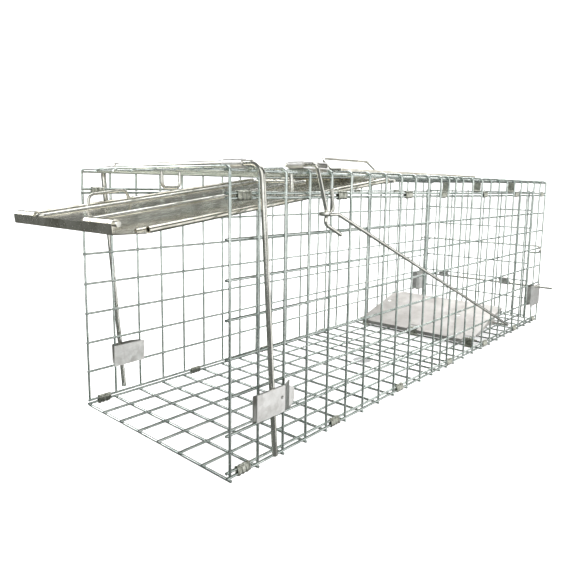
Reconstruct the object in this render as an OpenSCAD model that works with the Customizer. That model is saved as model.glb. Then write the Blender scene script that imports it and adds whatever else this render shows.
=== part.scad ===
// Live catch trap, one door, set. Millimetres.
// X runs across, Y from the mouth to the rear, Z up.

/* [Cage] */
// Mesh pitch, which sets every main size
pitch = 25.4; // [20:0.1:30]
// Cells along the floor
cells_long = 24; // [20:2:30]
// Diameter of the mesh wire
wire_d = 2; // [1.5:0.1:3]
// Depth the wires sink into each other at a weld
weld_sink = 0.3; // [0.1:0.05:0.5]
// Length of wire past the last crossing
wire_overhang = 1; // [0.5:0.1:3]
// Half the gap between the two middle wires
middle_gap = 8.1; // [5:0.1:10]
// Height of the side panels' lowest wire
side_base = 3.3; // [3:0.1:6]
// Height of the roof's crosswires
roof_z = 200.45; // [195:0.05:210]
// Height of the wire along the roof's turned-down edge
flange_z = 184.15; // [183:0.05:190]
// Centre-line radius of the roof's corners
roof_bend = 3.5; // [2:0.1:6]

/* [Door] */
// Door hinge, measured from the mouth
door_hinge_y = 200.66; // [190:0.01:210]
// Height of the door hinge
door_hinge_z = 194.6; // [190:0.1:195]
// Slope of the open door
door_slope = 7.27; // [5:0.01:9]
// Hinge to the lip's front face
door_length = 267.05; // [250:0.05:275]
// Thickness of the door sheet
door_sheet = 0.8; // [0.6:0.1:1.5]
// Half the distance between the rolled edges
door_half = 81.3; // [75:0.1:84]
// Outside diameter of the rolled edges
edge_tube_d = 4.2; // [3.5:0.1:6]
// Half the width of the lip
lip_half = 64.8; // [55:0.1:70]
// Height of the lock bar's pivot over the sheet
pivot_rise = 5.55; // [4:0.05:8]
// Diameter of the lock bar
lock_bar_d = 3.2; // [2.5:0.1:4]
// Half the distance between the lock bar's legs
lock_leg_x = 29.2; // [25:0.1:40]
// Length of the lock bar's legs
lock_leg_l = 208.9; // [180:0.1:220]

/* [Brace] */
// Diameter of the brace rod
brace_d = 4; // [3:0.1:5]
// Brace bar, measured from the mouth
brace_y = 21.84; // [20:0.01:22]
// Height of the brace bar
brace_z = 203.2; // [202:0.1:206]
// Half the distance between the brace legs
brace_half = 95.25; // [93:0.05:97]
// Where the brace legs end, from the mouth
brace_foot_y = 36.8; // [30:0.1:45]
// Height of the brace legs' ends
brace_foot_z = 4.1; // [3:0.1:20]

/* [Trigger] */
// Diameter of the trigger lever and rod
trigger_d = 3; // [2.5:0.1:4]
// Lever shaft, measured from the mouth
lever_y = 74.2; // [70:0.1:75]
// Height of the lever shaft
lever_z = 204; // [203.9:0.1:206]
// Sideways place of the lever's outside arm
lever_x = 97; // [96:0.1:100]
// Pedal hinge, measured from the mouth
pedal_y = 406.4; // [400:0.1:412]
// Height of the pedal hinge
pedal_z = 6.35; // [6:0.05:9]
// Slope of the pedal, set
pedal_slope = 15.9; // [12:0.1:18]
// Pedal length behind its hinge
pedal_length = 92; // [80:1:100]
// Thickness of the pedal sheet
pedal_sheet = 0.8; // [0.6:0.1:1.5]
// Trigger rod's rear pivot, measured from the mouth
rod_pivot_y = 463.55; // [460:0.05:467]
// Height of the trigger rod's rear pivot
rod_pivot_z = 18.4; // [17:0.1:21]
// Trigger rod's hook, measured from the mouth
hook_y = 86.6; // [85:0.1:88]
// Height of the trigger rod's hook
hook_z = 169.4; // [168:0.1:173]

/* [Handle] */
// Diameter of the handle wire
handle_d = 3; // [2.5:0.1:4]
// First foot of the handle, from the mouth
handle_front = 248.9; // [240:0.1:249.5]
// Second foot of the handle, from the mouth
handle_rear = 337.8; // [335:0.1:350]
// Length of the handle's legs
handle_leg = 32; // [28:0.5:40]
// Lean of the handle at rest
handle_lean = 49; // [30:1:50]

/* [Rear] */
// Rear panel's upright wires, from the mouth
rear_y = 580.8; // [575:0.1:581]
// Diameter of the rear lock rod
rear_rod_d = 3; // [2.5:0.1:4]
// Rear lock rod, from the mouth
rear_rod_y = 589.3; // [588:0.1:592]
// Height of the rear lock rod
rear_rod_z = 50.8; // [45:0.1:51]
// Near end of the rear lock rod
rear_rod_end = 114.3; // [100:0.1:130]

/* [Clips] */
// Thickness of the clip sheet
clip_sheet = 0.8; // [0.5:0.1:1.2]
// Clearance of a pivot round its rod
pivot_play = 0.06; // [0.03:0.01:0.1]
// Clearance of a clip round a mesh wire
clip_play = 0.1; // [0.05:0.05:0.3]

/* [Hidden] */
$fn = 48;
half_w = 3.5 * pitch;
length = cells_long * pitch;
middle = length / 2;
// Distance between the centres of two welded wires
weld = wire_d - weld_sink;
inner_x = half_w - weld / 2;
outer_x = half_w + weld / 2;
side_top = side_base + 7 * pitch;
wire_r = wire_d / 2;
clip_r = wire_r + clip_play;
// Corner wire of the roof, welded inside the bend
roof_arc_x = outer_x - roof_bend;
roof_arc_z = roof_z - roof_bend;
corner_in = (roof_bend - weld) * cos(45);
tongue_out = brace_half + brace_d / 2 + 1.25;
// Mouth-to-rear places of every crosswise wire, with two in the middle
stations = concat(
  [for (i = [0 : cells_long / 2 - 1]) i * pitch],
  [middle - middle_gap, middle + middle_gap],
  [for (i = [cells_long / 2 + 1 : cells_long]) i * pitch]
);
// Puts the origin under the middle of the whole trap, on the ground
to_origin = [-7.9, -273.35, 3.6];
galvanised = "#c3c8c6";
bright_sheet = "#d3d6d4";
warm_sheet = "#c9c6c0";
rod_steel = "#b9bfbd";

// ---- helpers ----

function unit(v) = v / norm(v);

// Length of straight lost to the bend at corner b
function setback(a, b, c, r) = r * tan(acos(unit(b - a) * unit(c - b)) / 2);

module placed() {
  translate(to_origin) children();
}

module straight(a, b, d) {
  v = b - a;
  translate(a) rotate([0, acos(v[2] / norm(v)), atan2(v[1], v[0])]) cylinder(d = d, h = norm(v));
}

module elbow(a, b, c, r, d) {
  u = unit(b - a);
  w = unit(c - b);
  m = unit(w - u * (u * w));
  o = b - u * setback(a, b, c, r) + m * r;
  k = cross(-m, u);
  multmatrix([
    [-m[0], u[0], k[0], o[0]],
    [-m[1], u[1], k[1], o[1]],
    [-m[2], u[2], k[2], o[2]],
    [0, 0, 0, 1]
  ]) rotate_extrude(angle = acos(u * w)) translate([r, 0]) circle(d = d + 0.04);
}

// Round rod through a list of corners, each bent to the radius given for it.
// A bend is 0.04 mm thicker than the straights, which end just inside it.
module bent_rod(points, bends, d) {
  last = len(points) - 1;
  for (i = [0 : last - 1]) {
    a = points[i];
    b = points[i + 1];
    near = i == 0 ? 0 : setback(points[i - 1], a, b, bends[i - 1]);
    far = i == last - 1 ? 0 : setback(a, b, points[i + 2], bends[i]);
    start = i == 0 ? a : a + unit(b - a) * (near - 0.2);
    end = i == last - 1 ? b : b - unit(b - a) * (far - 0.2);
    straight(start, end, d);
  }
  for (i = [1 : last - 1]) {
    elbow(points[i - 1], points[i], points[i + 1], bends[i - 1], d);
  }
}

// Outline drawn as (Y, Z), drawn out along X
module along_x(start, run) {
  translate([start, 0, 0]) rotate([90, 0, 90]) linear_extrude(run) children();
}

// Outline drawn as (X, Z), drawn out along Y
module along_y(start, run) {
  translate([0, start + run, 0]) rotate([90, 0, 0]) linear_extrude(run) children();
}

// Flat strip from p to q
module strip(p, q, w) {
  v = q - p;
  translate(p) rotate(atan2(v[1], v[0])) translate([0, -w / 2]) square([norm(v), w]);
}

// Strip folded round two wires, with a web between
module two_ring(p, q, rp, rq, web) {
  difference() {
    union() {
      translate(p) circle(r = rp + clip_sheet);
      translate(q) circle(r = rq + clip_sheet);
      strip(p, q, web);
    }
    translate(p) circle(r = rp);
    translate(q) circle(r = rq);
  }
}

// Sheet rolled round two neighbouring wires, with a seam left open
module rolled_pair(p, q, seam_side) {
  middle_point = (p + q) / 2;
  difference() {
    union() {
      translate(p) circle(r = clip_r + clip_sheet);
      translate(q) circle(r = clip_r + clip_sheet);
      strip(p, q, 2 * (clip_r + clip_sheet));
    }
    translate(p) circle(r = clip_r);
    translate(q) circle(r = clip_r);
    strip(p, q, 2 * clip_r);
    translate(middle_point + [seam_side * 1.6, 0]) square([2, 0.5], center = true);
  }
}

// ---- wire panels ----

module wire_x(half, y, z) {
  translate([-half, y, z]) rotate([0, 90, 0]) cylinder(d = wire_d, h = 2 * half);
}

module wire_y(x, z) {
  translate([x, -wire_r - wire_overhang, z]) rotate([-90, 0, 0])
    cylinder(d = wire_d, h = length + wire_d + 2 * wire_overhang);
}

module floor_panel() {
  color(galvanised) placed() {
    for (i = [0 : 7]) {
      wire_y((i - 3.5) * pitch, 0);
    }
    for (y = stations) {
      wire_x(half_w + wire_r + wire_overhang, y, -weld);
    }
  }
}

module side_panel(side) {
  for (i = [0 : 7]) {
    wire_y(side * inner_x, side_base + i * pitch);
  }
  for (y = stations) {
    translate([side * outer_x, y, side_base - 1.6]) cylinder(d = wire_d, h = 7 * pitch + 2.7);
  }
}

module left_side_panel() {
  color(galvanised) placed() side_panel(-1);
}

module right_side_panel() {
  color(galvanised) placed() side_panel(1);
}

module roof_hoop(y) {
  foot = flange_z - 1.6;
  bent_rod(
    [[-outer_x, y, foot], [-outer_x, y, roof_z], [outer_x, y, roof_z], [outer_x, y, foot]],
    [roof_bend, roof_bend],
    wire_d
  );
}

module roof_panel() {
  color(galvanised) placed() {
    for (y = stations) {
      roof_hoop(y);
    }
    for (i = [1 : 6]) {
      wire_y((i - 3.5) * pitch, roof_z - weld);
    }
    for (side = [-1, 1]) {
      wire_y(side * (roof_arc_x + corner_in), roof_arc_z + corner_in);
      wire_y(side * inner_x, flange_z);
    }
  }
}

module rear_panel() {
  edge = 3.2 * pitch;
  uprights = [-edge, -edge + 4.5, -2.5 * pitch, -1.5 * pitch, -0.5 * pitch,
    0.5 * pitch, 1.5 * pitch, 2.5 * pitch, edge - 4.5, edge];
  color(galvanised) placed() {
    for (x = uprights) {
      translate([x, rear_y, 0.3 * pitch - 2]) cylinder(d = wire_d, h = 7 * pitch + 4);
    }
    for (i = [0 : 7]) {
      wire_x(edge + 2, rear_y + weld, (0.3 + i) * pitch);
    }
  }
}

// ---- clips between the panels ----

module floor_clips(side) {
  places = [0.5, 4.5, 8.5, 12.66, 16.5, 20.5, 23.5];
  for (i = places) {
    along_y(i * pitch - 5.5, 11)
      rolled_pair([side * half_w, 0], [side * inner_x, side_base], side);
  }
}

module roof_clips(side) {
  places = [0.5, 4.6, 8.6, 11.35, 15.5, 19.5, 23.5];
  for (i = places) {
    along_y(i * pitch - 5.5, 11)
      rolled_pair([side * inner_x, side_top], [side * inner_x, flange_z], side);
  }
}

module left_floor_clips() {
  color(rod_steel) placed() floor_clips(-1);
}

module right_floor_clips() {
  color(rod_steel) placed() floor_clips(1);
}

module left_roof_clips() {
  color(rod_steel) placed() roof_clips(-1);
}

module right_roof_clips() {
  color(rod_steel) placed() roof_clips(1);
}

// ---- door ----

module on_door() {
  translate([0, door_hinge_y, door_hinge_z]) rotate([door_slope, 0, 0]) children();
}

module knuckle_outline(r) {
  difference() {
    circle(r = r + pivot_play + 0.9);
    circle(r = r + pivot_play);
  }
}

module door_plate() {
  shoulder = 256;
  pivot_s = door_length - 2.75;
  hinge_bore = trigger_d / 2 + pivot_play;
  roll_n = (edge_tube_d - door_sheet) / 2;
  color(bright_sheet) placed() on_door() {
    difference() {
      union() {
        translate([0, 0, -door_sheet / 2]) linear_extrude(door_sheet) polygon([
          [-door_half, 0], [-door_half, -shoulder], [-lip_half, -door_length],
          [lip_half, -door_length], [door_half, -shoulder], [door_half, 0]
        ]);
        for (span = [[-78, -52.5], [-39.5, 39.5], [52.5, 78]]) {
          along_x(span[0], span[1] - span[0]) circle(r = hinge_bore + 0.9);
        }
        for (side = [-1, 1]) {
          translate([side * door_half, -12.8, roll_n]) rotate([90, 0, 0])
            cylinder(d = edge_tube_d, h = shoulder - 14);
          translate([side * 69.9, -189.5, 0.2]) rotate([90, 0, 0]) cylinder(d = 3, h = 66);
          along_x(side * 49.15 - 15.65, 31.3)
            translate([-pivot_s, pivot_rise]) circle(r = 2.75);
        }
        along_x(-lip_half, 2 * lip_half) translate([-door_length, -door_sheet / 2])
          square([door_sheet, pivot_rise + door_sheet / 2]);
      }
      along_x(-door_half - 1, 2 * door_half + 2) circle(r = hinge_bore);
      for (side = [-1, 1]) {
        translate([side * door_half, -12, roll_n]) rotate([90, 0, 0])
          cylinder(d = edge_tube_d - 2 * door_sheet, h = shoulder);
        along_x(side * 49.15 - 16, 32)
          translate([-pivot_s, pivot_rise]) circle(d = lock_bar_d + 2 * pivot_play);
        translate([side * 46 - 6.5, -4.2, -5]) cube([13, 10, 10]);
        translate([side * 82 - 4, -4.2, -5]) cube([8, 10, 10]);
      }
    }
  }
}

module door_hinge_rod() {
  color(rod_steel) placed() translate([-84, door_hinge_y, door_hinge_z]) rotate([0, 90, 0])
    cylinder(d = trigger_d, h = 168);
}

module door_hangers() {
  color(rod_steel) placed() for (side = [-1, 1]) {
    along_x(side * 46 - 5, 10) two_ring(
      [door_hinge_y, door_hinge_z], [8 * pitch, roof_z], trigger_d / 2 + 0.03, clip_r, 2.2
    );
  }
}

module lock_bar() {
  pivot_s = door_length - 2.75;
  rear_s = pivot_s - lock_leg_l;
  color(rod_steel) placed() on_door() bent_rod(
    [
      [-68, -pivot_s, pivot_rise], [-lock_leg_x, -pivot_s, pivot_rise],
      [-lock_leg_x, -rear_s, pivot_rise], [lock_leg_x, -rear_s, pivot_rise],
      [lock_leg_x, -pivot_s, pivot_rise], [68, -pivot_s, pivot_rise]
    ],
    [3.2, 5, 5, 3.2],
    lock_bar_d
  );
}

module door_loop() {
  base = door_sheet / 2 + 0.4;
  color(rod_steel) placed() on_door() bent_rod(
    [[-63.5, -212.5, base], [-63.5, -209, 12], [-63.5, -177, 12], [-63.5, -173.5, base]],
    [5, 5],
    2.5
  );
}

// ---- brace ----

module brace_rod() {
  color(rod_steel) placed() bent_rod(
    [
      [-brace_half, brace_foot_y, brace_foot_z], [-brace_half, brace_y, brace_z],
      [brace_half, brace_y, brace_z], [brace_half, brace_foot_y, brace_foot_z]
    ],
    [9, 9],
    brace_d
  );
}

// Folded strip over the brace bar, hooked under the second roof wire
module brace_sleeve(start, run, hook_start, hook_run) {
  bore = brace_d / 2 + pivot_play;
  bar = [brace_y, brace_z];
  hook = [pitch, roof_z];
  difference() {
    union() {
      along_x(start, run) translate(bar) circle(r = bore + clip_sheet);
      along_x(hook_start, hook_run) translate(hook) circle(r = clip_r + clip_sheet);
      along_x(hook_start, hook_run) strip(bar, hook, 2.4);
    }
    along_x(start - 1, run + 2) translate(bar) circle(r = bore);
    along_x(start - 1, run + 2) translate(hook) circle(r = clip_r);
  }
}

module left_brace_sleeve() {
  color(bright_sheet) placed() brace_sleeve(-85.5, 13.5, -84, 11.5);
}

module right_brace_sleeve() {
  color(bright_sheet) placed() brace_sleeve(60, 19.2, 66, 12.7);
}

// Sheet guide round the leg, open to the front.
// The inner plate is drawn as (Y, Z); the outer tongue turns in behind the second wire.
module guide_clip(side, inner, front, rear, low, high, wall) {
  sheet = 0.9;
  mid = tongue_out - sheet / 2;
  wall_y = 52.65;
  turn = mid - (wall_y - rear) / 2;
  color(bright_sheet) placed() difference() {
    union() {
      along_x(side > 0 ? 86 : -86 - sheet, sheet) polygon(inner);
      translate([0, 0, low]) linear_extrude(high - low) {
        strip([side * mid, front], [side * mid, rear], sheet);
        strip([side * mid, rear], [side * turn, wall_y], sheet);
        for (corner = [[side * mid, rear], [side * turn, wall_y]]) {
          translate(corner) circle(d = sheet);
        }
      }
      translate([0, 0, wall[0]]) linear_extrude(wall[1] - wall[0])
        strip([side * 86.2, wall_y], [side * turn, wall_y], sheet);
    }
    translate([side * mid - 3, 40.1, (low + high) / 2 + 1.5]) rotate([0, 90, 0]) cylinder(d = 2.4, h = 6);
  }
}

module left_guide_clip() {
  guide_clip(
    -1,
    [[22.6, 27.8], [53.1, 27.8], [53.1, 46.5], [22.6, 46.5]],
    27.5, 47, 26.6, 45, [30.1, 44.6]
  );
}

module right_guide_clip() {
  guide_clip(
    1,
    [[24, 27.5], [60.5, 27.5], [66, 34], [66, 43], [57, 47.8], [24, 47.8]],
    16, 43, 35.2, 53.8, [35.7, 47.4]
  );
}

// ---- trigger ----

module trigger_lever() {
  color(rod_steel) placed() bent_rod(
    [
      [67.6, 81.9, 182.4], [67.6, 80.4, lever_z], [67.6, lever_y, lever_z],
      [lever_x, lever_y, lever_z], [lever_x, 87.4, 169.1], [lever_x, 84.6, 162.6],
      [lever_x, 104.6, 153.4]
    ],
    [2.2, 2.2, 3, 3, 4],
    trigger_d
  );
}

// Flattened sheet tube over the shaft, hooked under the fifth roof wire
module trigger_sleeve() {
  bore = trigger_d / 2 + pivot_play;
  front = [lever_y, lever_z];
  rear = [99, lever_z];
  hook = [4 * pitch, roof_z];
  color(bright_sheet) placed() along_x(71, 15.1) difference() {
    union() {
      translate(front) circle(r = bore + 0.9);
      translate(rear) circle(r = bore + 0.9);
      strip(front, rear, 2 * (bore + 0.9));
      translate(hook) circle(r = clip_r + clip_sheet);
      strip(rear, hook, 2 * clip_sheet);
    }
    translate(front) circle(r = bore);
    translate(rear) circle(r = bore);
    strip(front, rear, 2 * bore);
    translate(hook) circle(r = clip_r);
  }
}

module trigger_rod() {
  strand = trigger_d + 0.8;
  color(rod_steel) placed() {
    bent_rod(
      [
        [76, rod_pivot_y, rod_pivot_z], [lever_x + strand, rod_pivot_y, rod_pivot_z],
        [lever_x + strand, hook_y + 8.4, hook_z], [lever_x + strand, hook_y - 0.2, hook_z]
      ],
      [4, 4],
      trigger_d
    );
    hook_turn(strand);
    bent_rod(
      [
        [lever_x - strand, hook_y - 0.2, hook_z], [lever_x - strand, hook_y + 13, hook_z],
        [lever_x - strand, hook_y + 10.2, hook_z + 18]
      ],
      [4],
      trigger_d
    );
  }
}

// Half turn of the trigger rod round the lever's arm
module hook_turn(r) {
  translate([lever_x, hook_y, hook_z]) rotate([0, 0, 180]) rotate_extrude(angle = 180)
    translate([r, 0]) circle(d = trigger_d + 0.04);
}

// ---- pedal ----

module on_pedal() {
  translate([0, pedal_y, pedal_z]) rotate([pedal_slope, 0, 0]) children();
}

module pedal_plate() {
  bore = trigger_d / 2 + pivot_play;
  deck = bore + 0.1;
  half = 80;
  dy = rod_pivot_y - pedal_y;
  dz = rod_pivot_z - pedal_z;
  ear_y = dy * cos(pedal_slope) + dz * sin(pedal_slope);
  ear_z = dz * cos(pedal_slope) - dy * sin(pedal_slope);
  color(warm_sheet) placed() on_pedal() difference() {
    union() {
      translate([0, 0, deck]) linear_extrude(pedal_sheet) polygon([
        [-half, -7], [half, -7], [half, pedal_length],
        [-half + 12, pedal_length], [-half, pedal_length - 12]
      ]);
      translate([-half, -7, -2.5]) cube([2 * half, pedal_sheet, deck + 2.5]);
      translate([-half, pedal_length - pedal_sheet, deck - 3]) translate([12, 0, 0])
        cube([2 * half - 12, pedal_sheet, 3]);
      translate([-half, 12, deck - 4]) cube([pedal_sheet, pedal_length - 26, 4]);
      translate([half - pedal_sheet, 12, deck - 4]) cube([pedal_sheet, pedal_length - 12, 4]);
      translate([half - pedal_sheet, ear_y - 9, ear_z - 4]) cube([pedal_sheet, 18, deck - ear_z + 4]);
      for (span = [[-66, -9], [9, 66]]) {
        along_x(span[0], span[1] - span[0]) circle(r = bore + 0.8);
      }
    }
    along_x(-half - 1, 2 * half + 2) circle(r = bore);
    for (x = [-75, 0, 75]) {
      translate([x - 7, -8, -5]) cube([14, 12, 10]);
    }
    translate([half - 2, ear_y, ear_z]) rotate([0, 90, 0]) cylinder(r = bore, h = 4);
    translate([-71, 58, 0]) cylinder(d = 5, h = 6);
    translate([38, 50, 0]) cylinder(d = 5, h = 6);
  }
}

module pedal_hinge_rod() {
  color(rod_steel) placed() translate([-84, pedal_y, pedal_z]) rotate([0, 90, 0])
    cylinder(d = trigger_d, h = 168);
}

module pedal_hinge_clips() {
  color(rod_steel) placed() for (x = [-75, 0, 75]) {
    along_x(x - 5, 10) two_ring(
      [pedal_y, pedal_z], [16 * pitch, -weld], trigger_d / 2 + 0.03, clip_r, 1.6
    );
  }
}

// ---- handle and guard ----

module carry_handle() {
  x = -0.5 * pitch;
  z = roof_z - weld;
  bar = [x - handle_leg * sin(handle_lean), z + handle_leg * cos(handle_lean)];
  ring = 2.85;
  start = [x - ring * sin(handle_lean), z + ring * cos(handle_lean)];
  color(rod_steel) placed() {
    bent_rod(
      [
        [start[0], handle_front, start[1]], [bar[0], handle_front, bar[1]],
        [bar[0], handle_rear, bar[1]], [start[0], handle_rear, start[1]]
      ],
      [5, 5],
      handle_d
    );
    for (y = [handle_front, handle_rear]) {
      translate([x, y, z]) rotate([90, 0, 0]) rotate_extrude() translate([ring, 0]) circle(d = handle_d + 0.1);
    }
  }
}

module hand_guard_plate() {
  low = 205;
  half = 1.5 * pitch;
  front = 7.2 * pitch;
  rear = 19 * pitch;
  color(bright_sheet) placed() difference() {
    union() {
      translate([-half, front, low]) cube([2 * half, rear - front, clip_sheet]);
      for (x = [-half, half - clip_sheet]) {
        translate([x, front, low - 3.4]) cube([clip_sheet, rear - front, 3.4]);
      }
      translate([-half, rear, low]) rotate([18, 0, 0]) cube([2 * half, 9, clip_sheet]);
      for (i = [8, 18]) {
        for (x = [-30, 20]) {
          along_x(x, 10) union() {
            translate([i * pitch, roof_z]) circle(r = clip_r + clip_sheet);
            translate([i * pitch - clip_sheet, roof_z]) square([2 * clip_sheet, low - roof_z]);
          }
        }
      }
    }
    for (i = [8, 18]) {
      wire_bore(i * pitch);
    }
    for (y = [handle_front, handle_rear]) {
      translate([-0.5 * pitch - 10.5, y - 2.4, low - 2]) cube([21, 4.8, 6]);
    }
  }
}

module wire_bore(y) {
  translate([-50, y, roof_z]) rotate([0, 90, 0]) cylinder(r = clip_r, h = 100);
}

module roof_stop_loop() {
  top = roof_z - weld - wire_r - 0.02;
  color(rod_steel) placed() bent_rod(
    [[0.5 * pitch, 5.8, top], [0.5 * pitch, 5.8, 186.6], [0.5 * pitch, 21.1, 186.6], [0.5 * pitch, 21.1, top]],
    [4, 4],
    2.5
  );
}

// ---- rear ----

module placed_box(side, x0, x1, y0, y1, z0, z1) {
  left = side > 0 ? x0 : -x1;
  translate([left, y0, z0]) cube([x1 - x0, y1 - y0, z1 - z0]);
}

module rear_lock_rod() {
  color(rod_steel) placed() translate([-97.8, rear_rod_y, rear_rod_z]) rotate([0, 90, 0])
    cylinder(d = rear_rod_d, h = rear_rod_end + 97.8);
}

module rear_rod_sleeves() {
  color(bright_sheet) placed() for (x = [-56, 40.5]) {
    along_x(x, 15.5) two_ring(
      [rear_rod_y, rear_rod_z], [rear_y + weld, 2.3 * pitch],
      rear_rod_d / 2 + pivot_play, clip_r, 1.6
    );
  }
}

// Folded sheet round the side mesh, with a hole for the lock rod
module lock_plate(side) {
  sheet = 0.9;
  row = side_base + pitch + wire_r;
  color(bright_sheet) placed() difference() {
    union() {
      placed_box(side, 86, 86 + sheet, 568.5, 600, 24, 53.6);
      placed_box(side, 92.2, 92.2 + sheet, 568.5, 606.5, 24, 53.6);
      placed_box(side, 86, 92.2 + sheet, 568.5, 568.5 + sheet, row + 0.3, row + pitch - wire_d - 0.3);
    }
    translate([-120, rear_rod_y, rear_rod_z]) rotate([0, 90, 0])
      cylinder(r = rear_rod_d / 2 + pivot_play, h = 240);
  }
}

module left_lock_plate() {
  lock_plate(-1);
}

module right_lock_plate() {
  lock_plate(1);
}

module rear_hook_wire() {
  z = 109.2;
  color(rod_steel) placed() bent_rod(
    [
      [-91.4, rear_rod_y, z - 5], [-91.4, rear_rod_y, z], [94.9, rear_rod_y, z],
      [94.9, rear_rod_y, z - 9.7], [81.3, rear_rod_y, z - 9.7]
    ],
    [3, 4.8, 4.8],
    2.5
  );
}

module rear_panel_clips() {
  color(rod_steel) placed() for (x = [-50.8, 0, 50.8]) {
    along_x(x - 5, 10) two_ring(
      [rear_y + weld, 7.3 * pitch], [23 * pitch, roof_z], clip_r, clip_r, 1.4
    );
  }
}

floor_panel();
left_side_panel();
right_side_panel();
roof_panel();
rear_panel();
door_plate();
door_hinge_rod();
door_hangers();
lock_bar();
door_loop();
brace_rod();
left_brace_sleeve();
right_brace_sleeve();
left_guide_clip();
right_guide_clip();
trigger_lever();
trigger_sleeve();
trigger_rod();
pedal_plate();
pedal_hinge_rod();
pedal_hinge_clips();
carry_handle();
hand_guard_plate();
roof_stop_loop();
left_floor_clips();
right_floor_clips();
left_roof_clips();
right_roof_clips();
rear_lock_rod();
rear_rod_sleeves();
left_lock_plate();
right_lock_plate();
rear_hook_wire();
rear_panel_clips();
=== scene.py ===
import logging
import math
import random
from dataclasses import dataclass, field
from enum import Enum

import bmesh
import bpy
from mathutils import Euler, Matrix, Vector


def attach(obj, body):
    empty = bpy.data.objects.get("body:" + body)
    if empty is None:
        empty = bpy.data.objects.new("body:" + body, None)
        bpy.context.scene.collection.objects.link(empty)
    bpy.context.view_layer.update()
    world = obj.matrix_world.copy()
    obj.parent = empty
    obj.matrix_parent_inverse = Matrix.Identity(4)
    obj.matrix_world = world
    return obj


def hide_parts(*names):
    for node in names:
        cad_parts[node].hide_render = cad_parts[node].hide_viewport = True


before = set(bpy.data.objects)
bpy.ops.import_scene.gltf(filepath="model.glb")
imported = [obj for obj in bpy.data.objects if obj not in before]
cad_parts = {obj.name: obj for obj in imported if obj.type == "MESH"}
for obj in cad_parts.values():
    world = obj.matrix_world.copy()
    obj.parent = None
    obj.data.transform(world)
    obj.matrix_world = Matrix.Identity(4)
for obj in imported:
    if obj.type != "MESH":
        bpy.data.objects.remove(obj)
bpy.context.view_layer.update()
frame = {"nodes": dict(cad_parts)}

LOG = logging.getLogger("catch_trap")
MM = 0.001
SHIFT = Vector((-7.9, -273.35, 3.6))


def to_row(x: float, y: float, z: float) -> Vector:
    """Turns cage millimetres into row metres.

    Args:
        x: Across, from the middle.
        y: From the mouth to the rear.
        z: Up, from the floor panel.

    Returns:
        The same place in the row frame.
    """
    return (Vector((x, y, z)) + SHIFT) * MM


def linear(hex_colour: str) -> tuple[float, float, float, float]:
    """Turns an sRGB hex colour into a linear one.

    Args:
        hex_colour: Six hex digits, such as "c9d0cc".

    Returns:
        Red, green, blue and alpha, linear.
    """
    parts = [int(hex_colour[i : i + 2], 16) / 255 for i in (0, 2, 4)]
    r, g, b = [p / 12.92 if p <= 0.04045 else ((p + 0.055) / 1.055) ** 2.4 for p in parts]
    return (r, g, b, 1.0)


def pattern_scale(size_mm: float) -> float:
    """Returns the texture scale that repeats a pattern about every size_mm."""
    return 1000 / size_mm


def add_node(
    tree: bpy.types.NodeTree, kind: str, settings: dict | None = None, links: dict | None = None
) -> bpy.types.Node:
    """Adds a node with its settings and its incoming links.

    Args:
        tree: The node tree.
        kind: The node's type name.
        settings: Property or input names to values.
        links: Input names to output sockets.

    Returns:
        The new node.
    """
    node = tree.nodes.new(kind)
    for name, value in (settings or {}).items():
        if name in node.inputs:
            node.inputs[name].default_value = value
        else:
            setattr(node, name, value)
    for name, socket in (links or {}).items():
        tree.links.new(socket, node.inputs[name])
    return node


class Grain(Enum):
    """Which way a sheet was rolled, as a stretch of its pattern along X, Y and Z."""

    NONE = (1.0, 1.0, 1.0)
    ALONG = (1.0, 0.06, 1.0)
    ACROSS = (0.06, 1.0, 1.0)


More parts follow.
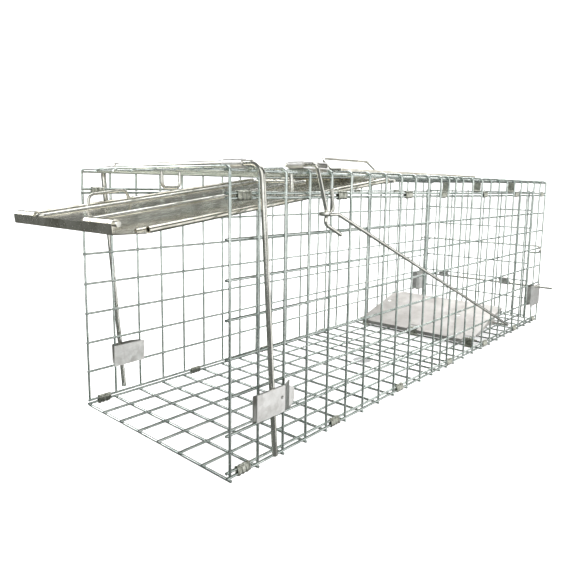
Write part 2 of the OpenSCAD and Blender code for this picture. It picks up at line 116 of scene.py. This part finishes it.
@dataclass(frozen=True)
class ZincFinish:
    """A zinc-coated steel surface: clear tone, dull patches (on the door sheet a painted brownish reflection),
    fine marks and spangle.
    """

    name: str
    bright: str
    # The dull patch colour; on the door sheet it is a painted brownish reflection.
    dull_and_reflected_tone: str
    patch_mm: float
    rough_low: float
    rough_high: float
    mark_mm: float
    mark_depth_mm: float
    grain: Grain = Grain.NONE
    spangle_mm: float = 0.0
    spangle_share: float = 0.0

    def build(self) -> bpy.types.Material:
        """Builds the node material, once for each finish.

        Returns:
            The material.
        """
        if self.name in bpy.data.materials:
            return bpy.data.materials[self.name]
        material = bpy.data.materials.new(self.name)
        material.use_nodes = True
        tree = material.node_tree
        tree.nodes.clear()
        coords = add_node(tree, "ShaderNodeTexCoord")
        stretched = add_node(
            tree, "ShaderNodeMapping", {"Scale": self.grain.value}, {"Vector": coords.outputs["Object"]}
        )
        # Slow change of tone where the zinc has dulled; on the door sheet the warm brownish tone is a painted
        # reflection.
        patches = add_node(
            tree, "ShaderNodeTexNoise",
            {"Scale": pattern_scale(self.patch_mm), "Detail": 4.0, "Roughness": 0.6},
            {"Vector": coords.outputs["Object"]},
        )
        # Fine marks from drawing or rolling, drawn coarser than they are so that they show.
        marks = add_node(
            tree, "ShaderNodeTexNoise",
            {"Scale": pattern_scale(self.mark_mm), "Detail": 6.0, "Roughness": 0.65},
            {"Vector": stretched.outputs["Vector"]},
        )
        tone = patches.outputs["Fac"]
        if self.spangle_mm:
            # Zinc crystals, each a shade lighter or darker than the next.
            crystals = add_node(
                tree, "ShaderNodeTexVoronoi",
                {"Scale": pattern_scale(self.spangle_mm)}, {"Vector": coords.outputs["Object"]},
            )
            shade = add_node(tree, "ShaderNodeSeparateColor", None, {"Color": crystals.outputs["Color"]})
            mixed = add_node(
                tree, "ShaderNodeMix", {"data_type": "FLOAT", "Factor": self.spangle_share},
                {"A": tone, "B": shade.outputs["Red"]},
            )
            tone = mixed.outputs["Result"]
        ramp = add_node(tree, "ShaderNodeValToRGB", None, {"Fac": tone})
        ramp.color_ramp.elements[0].position = 0.3
        ramp.color_ramp.elements[0].color = linear(self.dull_and_reflected_tone)
        ramp.color_ramp.elements[1].position = 0.68
        ramp.color_ramp.elements[1].color = linear(self.bright)
        rough = add_node(
            tree, "ShaderNodeMapRange",
            {"From Min": 0.3, "From Max": 0.7, "To Min": self.rough_high, "To Max": self.rough_low},
            {"Value": marks.outputs["Fac"]},
        )
        bump = add_node(
            tree, "ShaderNodeBump", {"Strength": 1.0, "Distance": self.mark_depth_mm * MM},
            {"Height": marks.outputs["Fac"]},
        )
        shader = add_node(
            tree, "ShaderNodeBsdfPrincipled", {"Metallic": 1.0},
            {
                "Base Color": ramp.outputs["Color"],
                "Roughness": rough.outputs["Result"],
                "Normal": bump.outputs["Normal"],
            },
        )
        add_node(tree, "ShaderNodeOutputMaterial", None, {"Surface": shader.outputs["BSDF"]})
        return material


# Welded mesh wire, zinc plated after welding: cool, with a faint green cast, bright with duller lengths.
MESH_WIRE = ZincFinish("zinc_plated_mesh_wire", "e4eae6", "aab5af", 14.0, 0.14, 0.3, 0.9, 0.008)
# Drawn rod, zinc plated: smoother and brighter than the mesh.
DRAWN_ROD = ZincFinish("zinc_plated_drawn_rod", "f0efe9", "bfbeb5", 22.0, 0.14, 0.28, 1.2, 0.006)
# Galvanised sheet with streaks along the trap: near mirror, slight spangle; its warm brownish tone is a
# painted reflection of the surroundings.
PAINTED_REFLECTION_DOOR_SHEET = ZincFinish(
    "galvanised_door_sheet_painted_reflection", "eeebe1", "b3af9f",
    18.0, 0.12, 0.3, 1.6, 0.008, Grain.ALONG, 7.0, 0.15,
)
# Cut galvanised strip: pale and softly shining.
STRIP_SHEET = ZincFinish(
    "galvanised_strip_sheet", "f4f3f1", "cfcdc9",
    9.0, 0.28, 0.44, 1.4, 0.012, Grain.NONE, 5.0, 0.15,
)
# Treadle sheet: dull, a little warm, close to matt.
TREADLE_SHEET = ZincFinish(
    "dull_galvanised_treadle_sheet", "dcd9d6", "bdb9b5",
    30.0, 0.4, 0.56, 1.8, 0.012, Grain.ACROSS, 8.0, 0.15,
)
# Crimped clip steel: thin zinc, darker and yellowed in the folds.
CLIP_STEEL = ZincFinish("crimped_clip_steel", "dcddd2", "85877a", 3.0, 0.2, 0.42, 0.8, 0.02)


@dataclass
class Cage:
    """The mesh cage: adds weld flashes and crimped clips."""

    pitch: float = 25.4
    cells: int = 24
    wire: float = 2.0
    sink: float = 0.3
    middle_gap: float = 8.1
    side_base: float = 3.3
    roof_z: float = 200.45
    flange_z: float = 184.15
    rear_y: float = 580.8
    bead_low: float = 1.12
    bead_high: float = 1.3
    bead_flatness: float = 0.75
    clip_run: float = 11.0
    clip_radius: float = 1.62
    clip_sheet: float = 0.5
    ridge_height: float = 0.26
    ridge_turns: float = 3.2
    flare_height: float = 0.10
    pieces: list[bpy.types.Object] = field(default_factory=list)

    def stations(self) -> list[float]:
        """Returns every crosswise wire's place from the mouth."""
        half = self.cells // 2
        middle = half * self.pitch
        first = [i * self.pitch for i in range(half)]
        last = [i * self.pitch for i in range(half + 1, self.cells + 1)]
        return first + [middle - self.middle_gap, middle + self.middle_gap] + last

    def weld_places(self) -> list[tuple[Vector, Vector]]:
        """Finds every weld on the panels.

        Returns:
            Pairs of place and panel normal, in cage millimetres.
        """
        weld = self.wire - self.sink
        places = []
        for y in self.stations():
            for i in range(8):
                places.append((Vector(((i - 3.5) * self.pitch, y, -weld / 2)), Vector((0, 0, 1))))
                for side in (-1, 1):
                    x = side * 3.5 * self.pitch
                    places.append((Vector((x, y, self.side_base + i * self.pitch)), Vector((1, 0, 0))))
            for i in range(1, 7):
                place = Vector(((i - 3.5) * self.pitch, y, self.roof_z - weld / 2))
                places.append((place, Vector((0, 0, 1))))
            for side in (-1, 1):
                places.append((Vector((side * 3.5 * self.pitch, y, self.flange_z)), Vector((1, 0, 0))))
        for i in range(8):
            for k in range(6):
                place = Vector(((k - 2.5) * self.pitch, self.rear_y + weld / 2, (0.3 + i) * self.pitch))
                places.append((place, Vector((0, 1, 0))))
        return places

    def weld_flashes(self) -> bpy.types.Object:
        """Builds the small beads of metal squeezed out at each weld.

        Returns:
            The piece.
        """
        spread = random.Random(7)
        mesh = bmesh.new()
        for place, normal in self.weld_places():
            size = spread.uniform(self.bead_low, self.bead_high)
            made = bmesh.ops.create_icosphere(mesh, subdivisions=2, radius=size)["verts"]
            centre = to_row(*place)
            turn = normal.to_track_quat("Z", "Y")
            for vert in made:
                flat = Vector((vert.co.x, vert.co.y, vert.co.z * self.bead_flatness))
                wobble = 1 + 0.06 * math.sin(5 * vert.co.x + 3 * vert.co.y + place.y)
                vert.co = centre + (turn @ flat) * wobble * MM
        return self.finish_piece(mesh, "weld_flashes", "cage", MESH_WIRE.build())

    def clip_rows(self) -> dict[str, tuple[Vector, Vector, list[float]]]:
        """Says where each row of crimped clips sits.

        Returns:
            Node name to the two wire centres and the places in cells.
        """
        outer = 3.5 * self.pitch
        inner = outer - (self.wire - self.sink) / 2
        top = self.side_base + 7 * self.pitch
        low = [0.5, 4.5, 8.5, 12.66, 16.5, 20.5, 23.5]
        high = [0.5, 4.6, 8.6, 11.35, 15.5, 19.5, 23.5]
        rows = {}
        for side, word in ((-1, "left"), (1, "right")):
            floor_wire = Vector((side * outer, 0, 0))
            lowest_wire = Vector((side * inner, 0, self.side_base))
            top_wire = Vector((side * inner, 0, top))
            flange_wire = Vector((side * inner, 0, self.flange_z))
            rows[f"{word}_floor_clips"] = (floor_wire, lowest_wire, low)
            rows[f"{word}_roof_clips"] = (top_wire, flange_wire, high)
        return rows

    def crimped_clips(self, node: str) -> bpy.types.Object:
        """Builds one edge's clips: sheet rolled in a close spiral round both wires, with a flared end.

        Args:
            node: The CAD node these stand for.

        Returns:
            The piece.
        """
        low, high, places = self.clip_rows()[node]
        mesh = bmesh.new()
        around, along = 28, 44
        mid = (low + high) / 2
        axis = (high - low).normalized()
        side = axis.cross(Vector((0, 1, 0)))
        half = (high - low).length / 2
        for cell in places:
            phase = cell * 2.3
            rings = []
            for j in range(along + 1):
                t = j / along
                ring = []
                for i in range(around):
                    a = 2 * math.pi * i / around
                    ridge = self.ridge_height * math.sin(2 * math.pi * self.ridge_turns * t + a + phase)
                    flare = self.flare_height * math.exp(-t * 14)
                    r = self.clip_radius + ridge + flare
                    reach = math.copysign(half, math.cos(a)) * min(1.0, abs(math.cos(a)) * 2.5)
                    point = mid + axis * (reach + r * math.cos(a)) + side * (r * math.sin(a))
                    y = cell * self.pitch - self.clip_run / 2 + t * self.clip_run
                    ring.append(mesh.verts.new(to_row(point.x, y, point.z)))
                rings.append(ring)
            for j in range(along):
                for i in range(around):
                    k = (i + 1) % around
                    mesh.faces.new((rings[j][i], rings[j][k], rings[j + 1][k], rings[j + 1][i]))
        bmesh.ops.recalc_face_normals(mesh, faces=mesh.faces)
        piece = self.finish_piece(mesh, f"crimped_{node}", "cage", CLIP_STEEL.build())
        wall = piece.modifiers.new("sheet", "SOLIDIFY")
        wall.thickness = self.clip_sheet * MM
        wall.offset = -1
        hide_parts(node)
        return piece

    def finish_piece(
        self, mesh: bmesh.types.BMesh, name: str, body: str, material: bpy.types.Material
    ) -> bpy.types.Object:
        """Turns a bmesh into a smooth object that rides on a body.

        Args:
            mesh: The built mesh, freed here.
            name: Object name.
            body: CAD body it moves with.
            material: Its finish.

        Returns:
            The object.
        """
        data = bpy.data.meshes.new(name)
        mesh.to_mesh(data)
        mesh.free()
        data.polygons.foreach_set("use_smooth", [True] * len(data.polygons))
        piece = bpy.data.objects.new(name, data)
        bpy.context.scene.collection.objects.link(piece)
        data.materials.append(material)
        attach(piece, body)
        self.pieces.append(piece)
        return piece

    def build(self) -> None:
        """Builds the flashes and the four rows of clips."""
        self.weld_flashes()
        for node in self.clip_rows():
            self.crimped_clips(node)


@dataclass
class Finishes:
    """Gives every CAD node its finish."""

    wire: tuple[str, ...] = ("floor_panel", "left_side_panel", "right_side_panel", "roof_panel", "rear_panel")
    rod: tuple[str, ...] = (
        "door_hinge_rod", "lock_bar", "door_loop", "brace_rod", "trigger_lever", "trigger_rod",
        "pedal_hinge_rod", "carry_handle", "roof_stop_loop", "rear_lock_rod", "rear_hook_wire",
    )
    door: tuple[str, ...] = ("door_plate", "hand_guard_plate")
    strip: tuple[str, ...] = (
        "left_brace_sleeve", "right_brace_sleeve", "left_guide_clip", "right_guide_clip", "trigger_sleeve",
        "rear_rod_sleeves", "left_lock_plate", "right_lock_plate",
    )
    treadle: tuple[str, ...] = ("pedal_plate",)
    clip: tuple[str, ...] = ("door_hangers", "pedal_hinge_clips", "rear_panel_clips")

    def dress(self, nodes: dict[str, bpy.types.Object]) -> None:
        """Puts each finish on its nodes.

        Args:
            nodes: CAD node names to objects.
        """
        table = (
            (self.wire, MESH_WIRE), (self.rod, DRAWN_ROD), (self.door, PAINTED_REFLECTION_DOOR_SHEET),
            (self.strip, STRIP_SHEET), (self.treadle, TREADLE_SHEET), (self.clip, CLIP_STEEL),
        )
        for names, finish in table:
            material = finish.build()
            for name in names:
                nodes[name].data.materials.clear()
                nodes[name].data.materials.append(material)
                LOG.info("dressed %s in %s", name, finish.name)


@dataclass
class Studio:
    """Pale floor and sweep, soft lights and the camera."""

    radius: float = 4.0
    wall: float = 3.2
    lens: float = 34.0
    place: tuple[float, float, float] = (0.32708, -0.49584, 0.19234)
    turn: tuple[float, float, float] = (82.298, -0.831, 41.656)
    shift: tuple[float, float] = (-0.0035, -0.0472)

    def paper(self) -> bpy.types.Material:
        """Builds the matt white paper of the floor and the sweep, a little mottled.

        Returns:
            The material.
        """
        material = bpy.data.materials.new("matt_white_paper")
        material.use_nodes = True
        tree = material.node_tree
        tree.nodes.clear()
        coords = add_node(tree, "ShaderNodeTexCoord")
        mottle = add_node(
            tree, "ShaderNodeTexNoise", {"Scale": 3.0, "Detail": 3.0}, {"Vector": coords.outputs["Object"]}
        )
        ramp = add_node(tree, "ShaderNodeValToRGB", None, {"Fac": mottle.outputs["Fac"]})
        ramp.color_ramp.elements[0].color = linear("f6f6f6")
        ramp.color_ramp.elements[1].color = linear("fafafa")
        shader = add_node(
            tree, "ShaderNodeBsdfPrincipled",
            {
                "Roughness": 0.9,
                "Specular IOR Level": 0.1,
                "Emission Color": (1, 1, 1, 1),
                "Emission Strength": 0.55,
            },
            {"Base Color": ramp.outputs["Color"]},
        )
        add_node(tree, "ShaderNodeOutputMaterial", None, {"Surface": shader.outputs["BSDF"]})
        return material

    def surface(
        self, name: str, rings: list[tuple[float, float]], material: bpy.types.Material
    ) -> bpy.types.Object:
        """Turns a profile round the upright axis.

        Args:
            name: Object name.
            rings: Radius and height of each ring, in metres.
            material: Its finish.

        Returns:
            The stage object.
        """
        mesh = bmesh.new()
        count = 96
        made = []
        angles = [2 * math.pi * i / count for i in range(count)]
        for radius, height in rings:
            made.append([mesh.verts.new((radius * math.cos(a), radius * math.sin(a), height)) for a in angles])
        for low, high in zip(made, made[1:]):
            for i in range(count):
                k = (i + 1) % count
                mesh.faces.new((low[i], low[k], high[k], high[i]))
        if rings[0][0] < 0.02:
            mesh.faces.new(made[0])
        data = bpy.data.meshes.new(name)
        mesh.to_mesh(data)
        mesh.free()
        data.polygons.foreach_set("use_smooth", [True] * len(data.polygons))
        data.materials.append(material)
        thing = bpy.data.objects.new(name, data)
        bpy.context.scene.collection.objects.link(thing)
        return thing

    def sweep(self) -> None:
        """Builds the floor and, apart from it, the sweep round it."""
        paper = self.paper()
        r = self.radius
        floor = self.surface("floor", [(0.01, 0.0), (r * 0.25, 0.0), (r * 0.6, 0.0)], paper)
        turn = r * 0.4
        angles = [math.radians(9 * k) for k in range(11)]
        bend = [(r * 0.6 + turn * math.sin(a), turn * (1 - math.cos(a))) for a in angles]
        wall = self.surface("sweep", bend + [(r, self.wall)], paper)
        # The metal mirrors the grey room and the soft boxes, not the paper, so the wires stand out.
        floor.visible_glossy = False
        wall.visible_glossy = False

    def light(
        self,
        name: str,
        place: tuple[float, float, float],
        size: tuple[float, float],
        power: float,
        aim: tuple[float, float, float],
    ) -> None:
        """Adds one soft box.

        Args:
            name: Object name.
            place: Where it hangs.
            size: Width and height, in metres.
            power: Watts.
            aim: The point it faces.
        """
        lamp = bpy.data.lights.new(name, "AREA")
        lamp.shape = "RECTANGLE"
        lamp.size, lamp.size_y = size
        lamp.energy = power
        thing = bpy.data.objects.new(name, lamp)
        thing.location = place
        thing.rotation_euler = (Vector(aim) - Vector(place)).to_track_quat("-Z", "Y").to_euler()
        bpy.context.scene.collection.objects.link(thing)

    def lights(self) -> None:
        """Hangs the soft boxes and sets the room's grey."""
        self.light("top_box", (0.0, 0.0, 2.2), (2.4, 2.4), 40, (0, 0, 0))
        self.light("front_box", (1.7, -1.9, 0.7), (3.4, 2.4), 40, (0, 0, 0.1))
        # Its lower part is under the floor, which mirrored rays ignore, so it brightens the right-hand sheets.
        self.light("right_box", (1.5, 1.1, -0.1), (2.2, 1.6), 13, (0, 0, 0.1))
        self.light("side_box", (-1.8, -0.8, 0.9), (1.2, 1.4), 22, (0, 0, 0.1))
        self.light("rear_box", (-0.6, 2.0, 1.4), (1.6, 1.0), 20, (0, 0, 0.1))
        world = bpy.data.worlds.new("room")
        world.use_nodes = True
        room = world.node_tree.nodes["Background"]
        room.inputs["Color"].default_value = linear("b9bdba")
        room.inputs["Strength"].default_value = 0.34
        bpy.context.scene.world = world

    def camera(self) -> None:
        """Sets up the camera low, in front and to the right."""
        data = bpy.data.cameras.new("camera")
        data.sensor_width = 36.0
        data.lens = self.lens
        data.clip_start = 0.01
        data.shift_x, data.shift_y = self.shift
        thing = bpy.data.objects.new("camera", data)
        thing.location = self.place
        thing.rotation_euler = Euler([math.radians(a) for a in self.turn], "XYZ")
        bpy.context.scene.collection.objects.link(thing)
        bpy.context.scene.camera = thing

    def build(self) -> None:
        """Builds the whole studio."""
        self.sweep()
        self.lights()
        self.camera()
        bpy.context.scene.view_settings.view_transform = "Standard"
        bpy.context.scene.view_settings.look = "None"


def main() -> None:
    """Builds the looks in order."""
    logging.basicConfig(level=logging.INFO, format="%(name)s: %(message)s")
    Finishes().dress(frame["nodes"])
    cage = Cage()
    cage.build()
    for piece in cage.pieces:
        LOG.info("built %s, %d faces", piece.name, len(piece.data.polygons))
    Studio().build()


if __name__ == "__main__":
    main()
